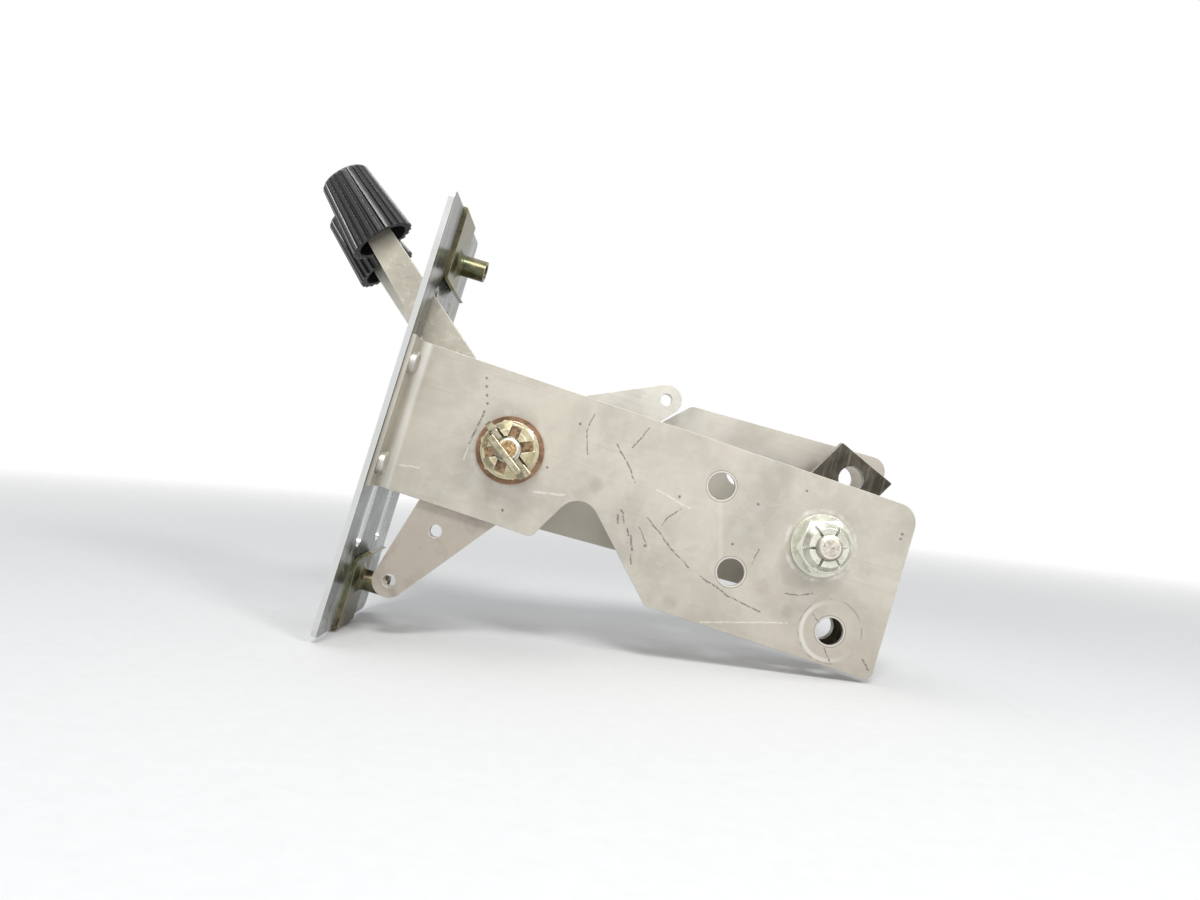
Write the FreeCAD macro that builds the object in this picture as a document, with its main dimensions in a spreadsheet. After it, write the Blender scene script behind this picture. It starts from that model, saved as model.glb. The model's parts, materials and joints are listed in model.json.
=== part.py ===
"""Alternate air control with two levers for a twin-engine aircraft.

Millimetres. The origin is the centre of the front plate's front face, where the panel sits.
+X runs rearwards along the brackets, +Z up along the plate, and +Y from the right bracket to the
left one, right and left as seen by the pilot, who looks along +X. The nuts are on the right side.
Both brackets are one sheet part, and both levers another, each used once as made and once turned over.
The left bracket is trimmed a little shorter at the rear.
"""
import FreeCAD, Part
import Sketcher
import math
import os

SIZES = {
    "plate_height": (82.55, "front plate, along Z"),
    "plate_width": (38.1, "front plate, along Y"),
    "plate_sheet": (1.02, "front plate thickness"),
    "plate_corner": (1.5, "front plate corner radius"),
    "slot_length": (51.0, "lever slot, end to end"),
    "slot_width": (4.0, "lever slot"),
    "screw_inset": (9.05, "from the plate's ends to the panel screws"),
    "panel_screw_hole": (4.4, "clearance hole for a panel screw"),
    "bracket_gap": (20.6, "between the inner faces of the brackets"),
    "bracket_sheet": (0.81, "bracket thickness"),
    "bracket_top": (14.0, "from the pivot bolt up to the upper edge"),
    "bracket_low": (13.85, "from the pivot bolt down to the front lower edge"),
    "bracket_drop": (20.95, "from the rear bolt down to the rear lower edge"),
    "bracket_edge_angle": (1.6, "fall of the three long edges towards the rear, degrees"),
    "bracket_bend": (2.3, "inside bend radius"),
    "bracket_rear_margin": (16.1, "from the rear bolt to the rear edge"),
    "bracket_rear_corner": (3.8, "radius of the rear upper corner"),
    "left_bracket_rear_margin": (15.0, "the same on the left bracket, which is trimmed shorter"),
    "left_bracket_rear_corner": (3.2, "radius of its rear upper corner, the same corner as the lower one"),
    "bracket_low_corner": (1.4, "radius of the lower corners"),
    "flange_margin": (0.8, "from the flange edge to the plate's side edge"),
    "notch_foot": (8.3, "from the pivot to the front foot of the notch"),
    "notch_heel": (32.1, "from the pivot to the rear foot of the notch"),
    "notch_front_angle": (60.7, "slope of the front side of the notch, degrees"),
    "notch_rear_angle": (45.5, "slope of the rear side of the notch, degrees"),
    "notch_radius": (4.0, "radius at the top of the notch"),
    "pivot_setback": (23.1, "from the panel face to the pivot bolt"),
    "bolt_pitch": (60.3, "from the pivot bolt to the rear bolt"),
    "bolt_diameter": (4.76, "shank of both bolts"),
    "bolt_clearance": (0.04, "radial gap between a shank and what turns on it"),
    "head_across": (9.53, "across the flats of the bolt heads and nuts"),
    "head_height": (3.2, "bolt head"),
    "washer_sheet": (0.81, "steel washers under heads and nuts"),
    "washer_diameter": (11.6, "steel washers under heads and nuts"),
    "cable_hole": (5.1, "holes for the cable clamp bolts"),
    "cable_hole_pitch": (16.0, "between the two holes of a cable clamp pair"),
    "cable_hole_angle": (67.2, "slope of each pair of clamp holes, degrees"),
    "middle_hole_reach": (39.4, "from the pivot to the first middle clamp hole, along X"),
    "middle_hole_rise": (5.15, "from the bolt line up to the first middle clamp hole"),
    "rivet_diameter": (3.18, "flange rivets"),
    "rivet_clearance": (0.02, "radial gap round a rivet"),
    "rivet_pitch": (18.7, "between the two rivets of a flange"),
    "rivet_rise": (0.6, "from the pivot's height up to the middle of a flange's rivets"),
    "rivet_inset": (2.6, "from the flange edge to the rivets"),
    "rivet_head_diameter": (4.3, "driven rivet head"),
    "rivet_head_height": (1.15, "driven rivet head"),
    "rivet_flush_depth": (0.8, "countersunk rivet head in the plate"),
    "lever_sheet": (2.38, "lever thickness"),
    "lever_hub": (19.2, "diameter of the lever's hub"),
    "lever_root_width": (8.3, "handle width at the pivot"),
    "lever_tip_width": (4.2, "handle width at its tip inside the knob"),
    "lever_reach": (56.0, "from the pivot to the handle's tip"),
    "lever_corner": (0.25, "broken edges of the levers"),
    "arm_angle": (105.6, "between handle and arm, degrees"),
    "arm_reach": (32.8, "from the pivot to the outer wire hole"),
    "arm_inner_reach": (20.4, "from the pivot to the inner wire hole"),
    "arm_end_radius": (3.2, "rounded end of the arm"),
    "wire_hole": (2.4, "wire holes in the arm"),
    "right_lever_angle": (41.5, "handle of the right lever above the X axis at rest, degrees"),
    "left_lever_angle": (37.8, "handle of the left lever above the X axis at rest, degrees"),
    "friction_washer_diameter": (12.7, "washers on both faces of each lever"),
    "friction_washer_sheet": (0.81, "washers on both faces of each lever"),
    "running_play": (0.02, "gap beside each face that turns"),
    "spacer_diameter": (9.5, "spacer between the levers"),
    "nut_washer_diameter": (12.6, "washer under the castle nut"),
    "nut_washer_sheet": (1.0, "washer under the castle nut"),
    "castle_height": (6.0, "castle nut"),
    "castle_crown": (9.5, "diameter of the slotted crown at its root"),
    "castle_foot_diameter": (10.7, "round foot of the castle nut"),
    "castle_foot_height": (0.9, "round foot of the castle nut"),
    "pin_angle": (-35.5, "cotter pin in the XZ plane, from the eye to the legs, degrees"),
    "castle_slot_width": (1.9, "slots of the castle nut"),
    "castle_slot_depth": (2.5, "slots of the castle nut"),
    "pivot_bolt_end": (0.4, "bolt end past the castle nut"),
    "cotter_width": (1.5, "cotter pin across both legs"),
    "cotter_leg": (0.78, "thickness of one cotter leg"),
    "cotter_hole": (2.3, "cross hole in the pivot bolt"),
    "cotter_eye": (2.2, "outer diameter of the cotter eye"),
    "cotter_sidestep": (1.05, "from the pin's axis to the leg bent over the bolt's end"),
    "lock_nut_hex_height": (3.0, "hexagon of the lock nut"),
    "lock_nut_angle": (17.0, "corner of the lock nut above the X axis, degrees"),
    "lock_nut_height": (4.8, "whole lock nut"),
    "lock_nut_crown": (8.9, "diameter of the slotted crown"),
    "lock_nut_slit": (0.5, "slits of the crown"),
    "rear_bolt_end": (1.15, "bolt end past the lock nut"),
    "clamp_sheet": (1.6, "cable clamp plates"),
    "clamp_length": (25.4, "cable clamp plates"),
    "clamp_width": (13.1, "cable clamp plates"),
    "clamp_corner": (0.25, "corner radius of the clamp plates"),
    "clamp_lean_angle": (6.4, "slant of the clamp plates' long sides to the line of their holes, degrees"),
    "clamp_spacing": (6.0, "between the two clamp plates"),
    "clamp_bolt_margin": (4.75, "from the rear bolt to the near end of a clamp plate"),
    "sleeve_diameter": (7.9, "sleeves on the rear bolt"),
    "knob_seat": (46.2, "from the pivot to the open end of the knob"),
    "knob_length": (13.9, "knob"),
    "knob_base_diameter": (12.3, "open end of the knob"),
    "knob_top_diameter": (9.3, "closed end of the knob"),
    "knob_wall": (1.35, "rim round the recess of the knob"),
    "knob_recess": (2.6, "depth of the recess of the knob"),
    "knob_edge": (0.5, "rounded top edge of the knob"),
    "knob_flutes": (24, "number of flutes"),
    "knob_flute_width": (0.95, "flute at the open end"),
    "clip_width": (12.7, "clip nut along Y"),
    "clip_sheet": (0.7, "clip nut spring steel"),
    "clip_back_length": (13.5, "back leg from the plate's end to the lip"),
    "clip_front_length": (13.0, "front leg"),
    "clip_lip_rise": (2.1, "lip standing off the plate"),
    "clip_lip_length": (2.0, "lip along the plate"),
    "barrel_diameter": (4.1, "threaded barrel of the clip nut"),
    "barrel_length": (5.6, "threaded barrel of the clip nut"),
    "barrel_flare": (1.4, "fillet at the root of the barrel"),
    "barrel_bore": (2.85, "thread of the clip nut, at its minor diameter"),
}

doc = FreeCAD.newDocument("AlternateAirControl")
parts = []


class Size:
    """A number together with the spreadsheet expression that keeps it up to date."""

    def __init__(self, value, text):
        self.value = value
        self.text = text

    def __add__(self, other):
        other = size_of(other)
        return Size(self.value + other.value, f"({self.text} + {other.text})")

    def __sub__(self, other):
        other = size_of(other)
        return Size(self.value - other.value, f"({self.text} - {other.text})")

    def __mul__(self, other):
        other = size_of(other)
        return Size(self.value * other.value, f"({self.text} * {other.text})")

    def __truediv__(self, other):
        other = size_of(other)
        return Size(self.value / other.value, f"({self.text} / {other.text})")

    def __neg__(self):
        return Size(-self.value, f"(-1 * {self.text})")


def size_of(number):
    return number if isinstance(number, Size) else Size(number, str(number))


def cos_of(angle):
    return Size(math.cos(math.radians(angle.value)), f"cos({angle.text})")


def sin_of(angle):
    return Size(math.sin(math.radians(angle.value)), f"sin({angle.text})")


def tan_of(angle):
    return Size(math.tan(math.radians(angle.value)), f"tan({angle.text})")


def arc_cos(ratio):
    return Size(math.degrees(math.acos(ratio.value)), f"(acos({ratio.text}) / (1 deg))")


class Sizes:
    """The driving dimensions, by name."""


def fill_sheet():
    """One row for each driving dimension: its name, its number and what it is."""
    sheet = doc.addObject("Spreadsheet::Sheet", "Sizes")
    named = Sizes()
    for row, (name, (number, meaning)) in enumerate(SIZES.items(), start=1):
        sheet.set(f"A{row}", name)
        sheet.set(f"B{row}", str(number))
        sheet.setAlias(f"B{row}", name)
        sheet.set(f"C{row}", meaning)
        setattr(named, name, Size(number, f"Sizes.{name}"))
    doc.recompute()
    return named


s = fill_sheet()
ZERO = size_of(0)


def new_body(name):
    body = doc.addObject("PartDesign::Body", name)
    body.Label = name
    parts.append(body)
    return body


def origin_plane(body, role):
    return next(item for item in body.Origin.OriginFeatures if item.Role == role)


def new_sketch(body, role, offset=ZERO):
    sketch = body.newObject("Sketcher::SketchObject", "Sketch")
    sketch.AttachmentSupport = (origin_plane(body, role), [""])
    sketch.MapMode = "FlatFace"
    if offset.value:
        sketch.setExpression("AttachmentOffset.Base.z", offset.text)
    return sketch


def bind(sketch, constraint, size):
    index = sketch.addConstraint(constraint)
    if "Sizes." in size.text:
        sketch.setExpression(f"Constraints[{index}]", size.text)


def fix_point(sketch, curve, end, x, y):
    """Holds one point of a curve at x, y of the sketch."""
    for kind, axis, size in (("DistanceX", -2, x), ("DistanceY", -1, y)):
        if size.value == 0:
            sketch.addConstraint(Sketcher.Constraint("PointOnObject", curve, end, axis))
        else:
            bind(sketch, Sketcher.Constraint(kind, -1, 1, curve, end, size.value), size)


def outline(sketch, points):
    """A closed run of straight lines through the points."""
    points = [(size_of(x), size_of(y)) for x, y in points]
    curves = []
    for (x1, y1), (x2, y2) in zip(points, points[1:] + points[:1]):
        start = FreeCAD.Vector(x1.value, y1.value, 0)
        end = FreeCAD.Vector(x2.value, y2.value, 0)
        curves.append(sketch.addGeometry(Part.LineSegment(start, end), False))
    for curve, following in zip(curves, curves[1:] + curves[:1]):
        sketch.addConstraint(Sketcher.Constraint("Coincident", curve, 2, following, 1))
    for curve, (x, y) in zip(curves, points):
        fix_point(sketch, curve, 1, x, y)


def rectangle(sketch, low_x, high_x, low_y, high_y):
    outline(sketch, [(low_x, low_y), (high_x, low_y), (high_x, high_y), (low_x, high_y)])


def circle(sketch, x, y, radius):
    x, y = size_of(x), size_of(y)
    centre = FreeCAD.Vector(x.value, y.value, 0)
    curve = sketch.addGeometry(Part.Circle(centre, FreeCAD.Vector(0, 0, 1), radius.value), False)
    bind(sketch, Sketcher.Constraint("Radius", curve, radius.value), radius)
    fix_point(sketch, curve, 3, x, y)


def hexagon(sketch, across, turn=0):
    """Corners at turn + 60 k degrees."""
    corner = across / math.sqrt(3)
    angles = [math.radians(turn + 60 * step) for step in range(6)]
    outline(sketch, [(corner * math.cos(a), corner * math.sin(a)) for a in angles])


def pad(body, sketch, length, middle=False, backwards=False):
    feature = body.newObject("PartDesign::Pad", "Pad")
    feature.Profile = sketch
    feature.setExpression("Length", length.text)
    feature.SideType = "Symmetric" if middle else "One side"
    feature.Reversed = backwards
    doc.recompute()
    return feature


def cut_through(body, sketch):
    feature = body.newObject("PartDesign::Pocket", "Pocket")
    feature.Profile = sketch
    feature.SideType = "Symmetric"
    feature.Type = "ThroughAll"
    doc.recompute()


def cut_depth(body, sketch, depth, backwards=False):
    feature = body.newObject("PartDesign::Pocket", "Pocket")
    feature.Profile = sketch
    feature.setExpression("Length", depth.text)
    feature.Reversed = backwards
    doc.recompute()
    return feature


def revolve(body, points, cutting=False):
    """Turns a profile of radius and height once round the body's Z axis."""
    sketch = new_sketch(body, "XZ_Plane")
    outline(sketch, points)
    kind = "PartDesign::Groove" if cutting else "PartDesign::Revolution"
    feature = body.newObject(kind, "Turned")
    feature.Profile = sketch
    feature.ReferenceAxis = (sketch, ["V_Axis"])
    feature.Angle = 360
    doc.recompute()


def straight_edges(body, axis, spots):
    """Names of the edges parallel to an axis that pass through the spots."""
    others = [i for i in range(3) if i != axis]
    names = []
    for number, edge in enumerate(body.Tip.Shape.Edges, start=1):
        if len(edge.Vertexes) != 2:
            continue
        ends = [tuple(vertex.Point) for vertex in edge.Vertexes]
        for spot in spots:
            near = all(abs(end[i] - spot[k].value) < 0.01 for end in ends for k, i in enumerate(others))
            if near and abs(ends[0][axis] - ends[1][axis]) > 0.01:
                names.append(f"Edge{number}")
    return names


def round_along(body, axis, spots, radius):
    spots = [tuple(size_of(value) for value in spot) for spot in spots]
    dress(body, "Fillet", "Radius", radius, straight_edges(body, axis, spots))


def dress(body, kind, property_name, size, names):
    """Adds a fillet or chamfer on the named edges of the body's last feature."""
    base = body.Tip
    feature = body.newObject(f"PartDesign::{kind}", kind)
    feature.Base = (base, names)
    feature.setExpression(property_name, size.text)
    doc.recompute()


def circle_edges(body, radius, level):
    """Names of the circular edges of one radius that lie at one distance along X."""
    names = []
    for number, edge in enumerate(body.Tip.Shape.Edges, start=1):
        if hasattr(edge.Curve, "Radius") and abs(edge.Curve.Radius - radius.value) < 0.005:
            if abs(edge.Curve.Center.x - level.value) < 0.005:
                names.append(f"Edge{number}")
    return names


def repeat_round(body, cutter, name, count=size_of(6)):
    """Repeats the body's last cut evenly round its Z axis."""
    turned = body.newObject("PartDesign::PolarPattern", name)
    turned.Originals = [cutter]
    turned.Axis = (origin_plane(body, "Z_Axis"), [""])
    turned.Angle = 360
    turned.setExpression("Occurrences", count.text)
    body.Tip = turned
    doc.recompute()


def place(item, x, y, z=ZERO, axis=(1, 0, 0), turn=ZERO):
    """Puts a piece at x, y, z after turning it about an axis of the frame."""
    item.Placement = FreeCAD.Placement(
        FreeCAD.Vector(x.value, y.value, z.value),
        FreeCAD.Rotation(FreeCAD.Vector(*axis), turn.value))
    for letter, size in (("x", x), ("y", y), ("z", z)):
        if size.value:
            item.setExpression(f".Placement.Base.{letter}", size.text)
    if "Sizes." in turn.text:
        item.setExpression(".Placement.Rotation.Angle", turn.text)


QUARTER = size_of(90)
HALF = size_of(180)
plate_back = s.plate_sheet
web_inner = s.bracket_gap / 2
web_outer = web_inner + s.bracket_sheet
flange_edge = s.plate_width / 2 - s.flange_margin
rivet_side = flange_edge - s.rivet_inset
rivet_levels = (s.rivet_rise + s.rivet_pitch / 2, s.rivet_rise - s.rivet_pitch / 2)
rivet_radius = s.rivet_diameter / 2
rivet_hole = rivet_radius + s.rivet_clearance
shank = s.bolt_diameter / 2
bolt_hole = shank + s.bolt_clearance
rear_x = s.pivot_setback + s.bolt_pitch
lever_side = web_inner - s.friction_washer_sheet - s.running_play - s.lever_sheet / 2
screw_height = s.plate_height / 2 - s.screw_inset


def make_front_plate():
    """Sheet with a slot for each lever, two screw holes and four countersunk rivet holes."""
    body = new_body("front_plate")
    side, end = s.plate_width / 2, s.plate_height / 2
    sketch = new_sketch(body, "YZ_Plane")
    rectangle(sketch, -side, side, -end, end)
    pad(body, sketch, s.plate_sheet)
    round_along(body, 0, [(-side, -end), (side, -end), (side, end), (-side, end)], s.plate_corner)
    half, centre = s.slot_width / 2, s.slot_length / 2 - s.slot_width / 2
    sketch = new_sketch(body, "YZ_Plane")
    for middle in (-lever_side, lever_side):
        rectangle(sketch, middle - half, middle + half, -centre, centre)
    cut_through(body, sketch)
    sketch = new_sketch(body, "YZ_Plane")
    for middle in (-lever_side, lever_side):
        circle(sketch, middle, centre, half)
        circle(sketch, middle, -centre, half)
    cut_through(body, sketch)
    sketch = new_sketch(body, "YZ_Plane")
    for way in (-1, 1):
        circle(sketch, ZERO, screw_height * way, s.panel_screw_hole / 2)
        for level in rivet_levels:
            circle(sketch, rivet_side * way, level * -way, rivet_hole)
    cut_through(body, sketch)
    dress(body, "Chamfer", "Size", s.rivet_flush_depth, circle_edges(body, rivet_hole, ZERO))


def make_bracket(name, rear_margin, low_rear_corner, turned_over):
    """Web in the XZ plane with a V notch, bent outwards to a flange that lies on the plate."""
    body = new_body(name)
    flange_rear = plate_back + s.bracket_sheet
    rear_edge = rear_x + rear_margin
    sketch = new_sketch(body, "XY_Plane")
    outline(sketch, [(plate_back, -flange_edge), (plate_back, -web_inner), (rear_edge * 1.1, -web_inner),
                     (rear_edge * 1.1, -web_outer), (flange_rear, -web_outer), (flange_rear, -flange_edge)])
    pad(body, sketch, s.bracket_drop * 3, middle=True)
    round_along(body, 2, [(plate_back, -web_inner)], s.bracket_bend + s.bracket_sheet)
    round_along(body, 2, [(flange_rear, -web_outer)], s.bracket_bend)

    fall = tan_of(s.bracket_edge_angle)

    def level(x, start, start_level):
        return start_level - (x - start) * fall

    foot = s.pivot_setback + s.notch_foot
    heel = s.pivot_setback + s.notch_heel
    front_slope, rear_slope = tan_of(s.notch_front_angle), tan_of(s.notch_rear_angle)
    foot_z = level(foot, s.pivot_setback, -s.bracket_low)
    heel_z = level(heel, rear_x, -s.bracket_drop)
    notch_x = (heel_z - foot_z + heel * rear_slope + foot * front_slope) / (front_slope + rear_slope)
    notch_z = foot_z + (notch_x - foot) * front_slope
    top_rear = level(rear_edge, s.pivot_setback, s.bracket_top)
    low_rear = level(rear_edge, rear_x, -s.bracket_drop)
    reach = s.bracket_drop * 2
    sketch = new_sketch(body, "XZ_Plane")
    rectangle(sketch, -web_inner, rear_edge * 1.2, -reach, reach)
    outline(sketch, [(ZERO, level(ZERO, s.pivot_setback, s.bracket_top)), (rear_edge, top_rear),
                     (rear_edge, low_rear), (heel, heel_z), (notch_x, notch_z), (foot, foot_z),
                     (ZERO, level(ZERO, s.pivot_setback, -s.bracket_low))])
    cut_through(body, sketch)

    round_along(body, 1, [(notch_x, notch_z)], s.notch_radius)
    round_along(body, 1, [(rear_edge, top_rear)], s.bracket_rear_corner)
    round_along(body, 1, [(rear_edge, low_rear)], low_rear_corner)
    round_along(body, 1, [(foot, foot_z), (heel, heel_z)], s.bracket_low_corner)

    slide_x = s.cable_hole_pitch * cos_of(s.cable_hole_angle)
    slide_z = -s.cable_hole_pitch * sin_of(s.cable_hole_angle)
    middle_x = s.pivot_setback + s.middle_hole_reach
    sketch = new_sketch(body, "XZ_Plane")
    circle(sketch, s.pivot_setback, ZERO, bolt_hole)
    circle(sketch, rear_x, ZERO, bolt_hole)
    circle(sketch, middle_x, s.middle_hole_rise, s.cable_hole / 2)
    circle(sketch, middle_x + slide_x, s.middle_hole_rise + slide_z, s.cable_hole / 2)
    circle(sketch, rear_x + slide_x, slide_z, s.cable_hole / 2)
    cut_through(body, sketch)
    sketch = new_sketch(body, "YZ_Plane")
    for rivet_level in rivet_levels:
        circle(sketch, -rivet_side, rivet_level, rivet_hole)
    cut_through(body, sketch)
    if turned_over:
        body.Placement = FreeCAD.Placement(FreeCAD.Vector(), FreeCAD.Rotation(FreeCAD.Vector(1, 0, 0), 180))


def make_flange_rivets():
    """Four rivets: flush in front of the plate, driven to a flat disc behind the flange."""
    grip = plate_back + s.bracket_sheet
    head = s.rivet_head_diameter / 2
    flush = rivet_radius + s.rivet_flush_depth
    rivets = []
    for way in (-1, 1):
        for level in rivet_levels:
            body = new_body("rivet")
            parts.remove(body)
            top = grip + s.rivet_head_height
            edge = s.rivet_head_height / 5
            revolve(body, [(ZERO, ZERO), (flush, ZERO), (rivet_radius, s.rivet_flush_depth),
                           (rivet_radius, grip), (head, grip), (head, top - edge),
                           (head - edge, top), (ZERO, top)])
            place(body, ZERO, rivet_side * way, level * -way, (0, 1, 0), QUARTER)
            rivets.append(body)
    group = doc.addObject("Part::Compound", "flange_rivets")
    group.Label = "flange_rivets"
    group.Links = rivets
    parts.append(group)


def make_clip_nut(name, turned_over):
    """Spring clip pushed over the plate's end, with a threaded barrel on its back leg."""
    body = new_body(name)
    thick = s.clip_sheet
    end = s.plate_height / 2
    back = plate_back + thick
    lip_z = end - s.clip_back_length
    front_z = end - s.clip_front_length
    side = s.clip_width / 2
    sketch = new_sketch(body, "XZ_Plane")
    outline(sketch, [(-thick, front_z), (ZERO, front_z), (ZERO, end), (plate_back, end),
                     (plate_back, lip_z), (plate_back + s.clip_lip_rise, lip_z - s.clip_lip_length),
                     (back + s.clip_lip_rise, lip_z - s.clip_lip_length + thick / 3),
                     (back, lip_z + thick / 3), (back, end + thick), (-thick, end + thick)])
    pad(body, sketch, s.clip_width, middle=True)
    round_along(body, 1, [(back, end + thick), (-thick, end + thick), (back, lip_z + thick / 3)], thick)
    round_along(body, 1, [(plate_back, lip_z)], thick * 2)
    round_along(body, 0, [(-side, front_z), (side, front_z)], thick)
    sketch = new_sketch(body, "YZ_Plane", back)
    circle(sketch, ZERO, screw_height, s.barrel_diameter / 2)
    pad(body, sketch, s.barrel_length)
    dress(body, "Fillet", "Radius", s.barrel_flare, circle_edges(body, s.barrel_diameter / 2, back))
    sketch = new_sketch(body, "YZ_Plane")
    circle(sketch, ZERO, screw_height, s.barrel_bore / 2)
    cut_through(body, sketch)
    sketch = new_sketch(body, "YZ_Plane")
    circle(sketch, ZERO, screw_height, s.panel_screw_hole / 2)
    cut_depth(body, sketch, thick)
    if turned_over:
        body.Placement = FreeCAD.Placement(FreeCAD.Vector(), FreeCAD.Rotation(FreeCAD.Vector(1, 0, 0), 180))


def hexagon_bevel(body, top, upwards=True):
    """Turns the corners of a hexagon down at one end, as on every nut and bolt head."""
    flat = s.head_across / 2 * 0.97
    corner = s.head_across / math.sqrt(3) + 0.2
    drop = (corner - flat) * math.tan(math.radians(30))
    level = top - drop if upwards else top + drop
    revolve(body, [(flat, top), (corner, top), (corner, level)], cutting=True)


def make_bolt(name, length, x, start, drilled_at=None):
    """Hexagon head below Z = 0 of the body, shank above it."""
    body = new_body(name)
    sketch = new_sketch(body, "XY_Plane")
    hexagon(sketch, s.head_across, 30)
    pad(body, sketch, s.head_height, backwards=True)
    hexagon_bevel(body, -s.head_height, upwards=False)
    tip = shank / 4
    revolve(body, [(ZERO, -s.head_height / 2), (shank, -s.head_height / 2), (shank, length - tip),
                   (shank - tip, length), (ZERO, length)])
    if drilled_at is not None:
        sketch = new_sketch(body, "YZ_Plane")
        circle(sketch, ZERO, drilled_at, s.cotter_hole / 2)
        cut_through(body, sketch)
    lay_across(body, x, start, ZERO if drilled_at is None else s.pin_angle)


def lay_across(body, x, start, spin=ZERO):
    """Turns a piece made along its Z axis to run along -Y, after a spin about its own axis."""
    rotation = FreeCAD.Rotation(FreeCAD.Vector(1, 0, 0), 90)
    rotation = rotation.multiply(FreeCAD.Rotation(FreeCAD.Vector(0, 0, 1), spin.value))
    body.Placement = FreeCAD.Placement(FreeCAD.Vector(x.value, start.value, 0), rotation)
    body.setExpression(".Placement.Base.x", x.text)
    body.setExpression(".Placement.Base.y", start.text)


def make_ring(name, outer, inner_radius, length, x, start):
    """Washer, spacer or sleeve that runs from start towards -Y."""
    body = new_body(name)
    sketch = new_sketch(body, "XY_Plane")
    circle(sketch, ZERO, ZERO, outer / 2)
    circle(sketch, ZERO, ZERO, inner_radius)
    pad(body, sketch, length)
    lay_across(body, x, start)


def make_castle_nut(start):
    """Hexagon on a round foot, with a tapered crown that has a slot over each flat."""
    body = new_body("castle_nut")
    floor = s.castle_height - s.castle_slot_depth
    sketch = new_sketch(body, "XY_Plane")
    hexagon(sketch, s.head_across)
    pad(body, sketch, floor)
    hexagon_bevel(body, floor)
    crown = s.castle_crown / 2
    revolve(body, [(ZERO, floor / 2), (crown, floor / 2), (crown, floor + s.castle_slot_depth / 2),
                   (crown * 0.76, s.castle_height), (ZERO, s.castle_height)])
    sketch = new_sketch(body, "XY_Plane")
    circle(sketch, ZERO, ZERO, s.castle_foot_diameter / 2)
    pad(body, sketch, s.castle_foot_height)
    sketch = new_sketch(body, "XY_Plane")
    circle(sketch, ZERO, ZERO, bolt_hole)
    cut_through(body, sketch)
    half = s.castle_slot_width / 2
    sketch = new_sketch(body, "XZ_Plane")
    rectangle(sketch, -half, half, floor, s.castle_height * 1.2)
    repeat_round(body, cut_depth(body, sketch, s.head_across), "Slots")
    lay_across(body, s.pivot_setback, start, s.pin_angle + 90)


def make_cotter_pin(start, tip_height):
    """One leg is bent up and back beside the middle of the bolt's end, the other is cut short."""
    body = new_body("cotter_pin")
    leg = s.cotter_leg
    centre = s.castle_height - s.castle_slot_depth / 2 - leg / 8
    crown = s.castle_crown / 2
    out = crown + leg / 5
    eye = s.cotter_eye / 2
    eye_x = -crown - eye / 4
    top = tip_height + leg / 16
    shoulder = crown * 0.78
    half_width = s.cotter_width / 2
    sketch = new_sketch(body, "XZ_Plane")
    rectangle(sketch, eye_x, out + leg, centre - leg, centre + leg)
    pad(body, sketch, s.cotter_width, middle=True)
    tail = out + leg * 1.2
    round_along(body, 0, [(-half_width, centre - leg), (half_width, centre - leg),
                          (-half_width, centre + leg), (half_width, centre + leg)], leg / 2)
    sketch = new_sketch(body, "XZ_Plane")
    rectangle(sketch, out, tail, centre - leg, centre)
    pad(body, sketch, s.cotter_width * 0.9, middle=True)
    sketch = new_sketch(body, "XZ_Plane", s.cotter_sidestep - half_width)
    outline(sketch, [(out, centre), (out + leg, centre), (shoulder + leg, top + leg), (-shoulder, top + leg),
                     (-shoulder, top), (shoulder, top), (out, centre + leg)])
    pad(body, sketch, s.cotter_width)
    near, far = half_width - s.cotter_sidestep, -half_width - s.cotter_sidestep
    round_along(body, 1, [(shoulder + leg, top + leg)], leg)
    round_along(body, 0, [(near, top + leg), (far, top + leg)], leg / 2)
    sketch = new_sketch(body, "XZ_Plane")
    circle(sketch, eye_x, centre, eye)
    pad(body, sketch, s.cotter_width * 0.8, middle=True)
    sketch = new_sketch(body, "XZ_Plane")
    circle(sketch, eye_x - eye / 8, centre, eye - leg)
    cut_through(body, sketch)
    lay_across(body, s.pivot_setback, start, s.pin_angle)


def make_lock_nut(start):
    """All-metal nut: hexagon below, round crown with six slits above."""
    body = new_body("rear_lock_nut")
    sketch = new_sketch(body, "XY_Plane")
    hexagon(sketch, s.head_across, 30)
    pad(body, sketch, s.lock_nut_hex_height)
    hexagon_bevel(body, s.lock_nut_hex_height)
    crown = s.lock_nut_crown / 2
    shoulder = s.lock_nut_hex_height
    revolve(body, [(ZERO, shoulder / 2), (crown, shoulder / 2), (crown, shoulder * 1.15),
                   (crown * 0.8, s.lock_nut_height), (ZERO, s.lock_nut_height)])
    sketch = new_sketch(body, "XY_Plane")
    circle(sketch, ZERO, ZERO, bolt_hole)
    cut_through(body, sketch)
    half = s.lock_nut_slit / 2
    sketch = new_sketch(body, "XZ_Plane")
    rectangle(sketch, -half, half, shoulder + half, s.lock_nut_height * 1.2)
    repeat_round(body, cut_depth(body, sketch, s.head_across), "Slits")
    lay_across(body, rear_x, start, s.lock_nut_angle + 90)


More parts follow.
